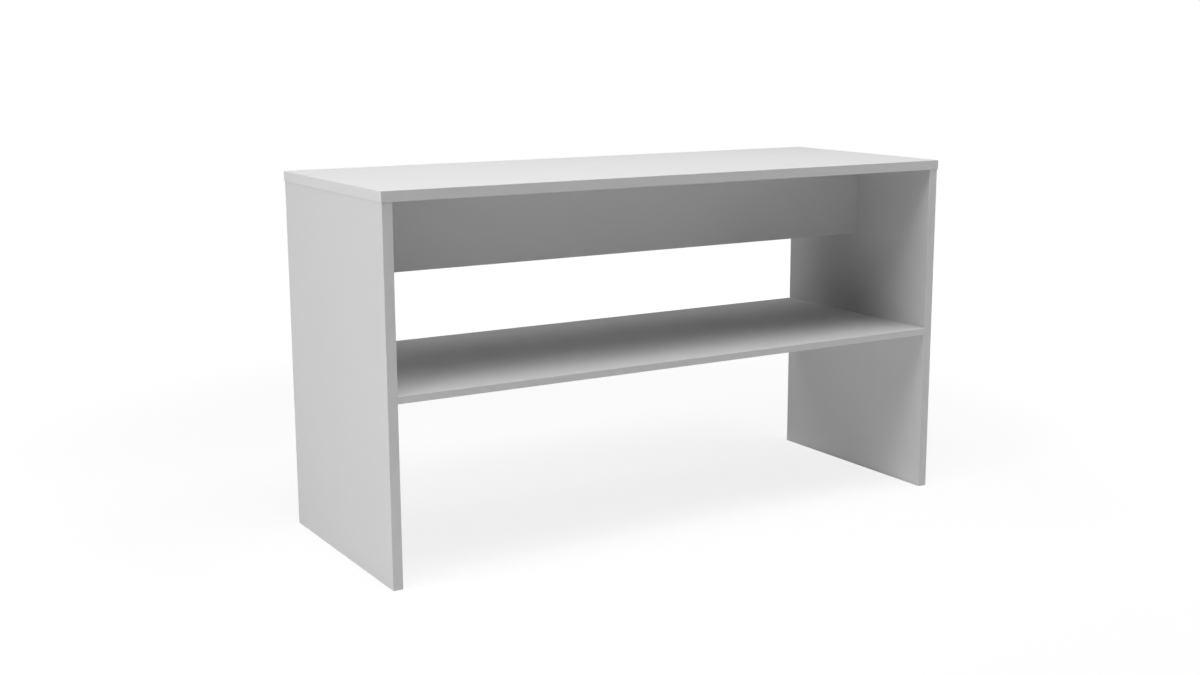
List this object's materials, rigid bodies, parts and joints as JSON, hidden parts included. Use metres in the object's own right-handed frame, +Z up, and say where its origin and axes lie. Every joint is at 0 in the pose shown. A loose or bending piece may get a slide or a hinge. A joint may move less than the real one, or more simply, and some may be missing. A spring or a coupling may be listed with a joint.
{
  "type": "packing table",
  "caption": "Board packing table: a broad worktop on full-depth side panels, with a stiffening rail under the top and a full-depth shelf at mid height.",
  "frame": {"origin": "on the floor, in the middle of the table's footprint", "axes": "+X along the worktop towards the right-hand side panel, +Y from the front to the rear, +Z up"},
  "size_m": [1.6, 0.6, 0.9],
  "materials": {
    "melamine_board": "chipboard faced with satin white melamine",
    "edge_band": "satin white plastic edge band",
    "zinc": "die-cast zinc, bright and slightly grainy",
    "steel": "zinc-plated turned steel",
    "beech": "bare beech"
  },
  "bodies": {
    "root": {"worktop": "melamine_board", "worktop_band_front": "edge_band", "worktop_band_rear": "edge_band", "worktop_band_left": "edge_band", "worktop_band_right": "edge_band", "side_panel_left": "melamine_board", "side_panel_left_band_front": "edge_band", "side_panel_left_band_rear": "edge_band", "side_panel_left_band_bottom": "edge_band", "side_panel_right": "melamine_board", "side_panel_right_band_front": "edge_band", "side_panel_right_band_rear": "edge_band", "side_panel_right_band_bottom": "edge_band", "centre_rail": "melamine_board", "centre_rail_band_bottom": "edge_band", "shelf": "melamine_board", "shelf_band_front": "edge_band", "shelf_band_rear": "edge_band", "cam_rail_top_1": "zinc", "cam_rail_top_2": "zinc", "cam_rail_top_3": "zinc", "cam_rail_top_4": "zinc", "cam_rail_left_1": "zinc", "cam_rail_left_2": "zinc", "cam_rail_right_1": "zinc", "cam_rail_right_2": "zinc", "cam_shelf_left_1": "zinc", "cam_shelf_left_2": "zinc", "cam_shelf_right_1": "zinc", "cam_shelf_right_2": "zinc", "bolt_rail_top_1": "steel", "bolt_rail_top_2": "steel", "bolt_rail_top_3": "steel", "bolt_rail_top_4": "steel", "bolt_rail_left_1": "steel", "bolt_rail_left_2": "steel", "bolt_rail_right_1": "steel", "bolt_rail_right_2": "steel", "bolt_shelf_left_1": "steel", "bolt_shelf_left_2": "steel", "bolt_shelf_right_1": "steel", "bolt_shelf_right_2": "steel", "dowel_rail_top_1": "beech", "dowel_rail_top_2": "beech", "dowel_worktop_left_1": "beech", "dowel_worktop_left_2": "beech", "dowel_worktop_left_3": "beech", "dowel_worktop_left_4": "beech", "dowel_worktop_right_1": "beech", "dowel_worktop_right_2": "beech", "dowel_worktop_right_3": "beech", "dowel_worktop_right_4": "beech", "dowel_rail_left_1": "beech", "dowel_rail_right_1": "beech", "dowel_shelf_left_1": "beech", "dowel_shelf_left_2": "beech", "dowel_shelf_right_1": "beech", "dowel_shelf_right_2": "beech"}
  },
  "joints": []
}
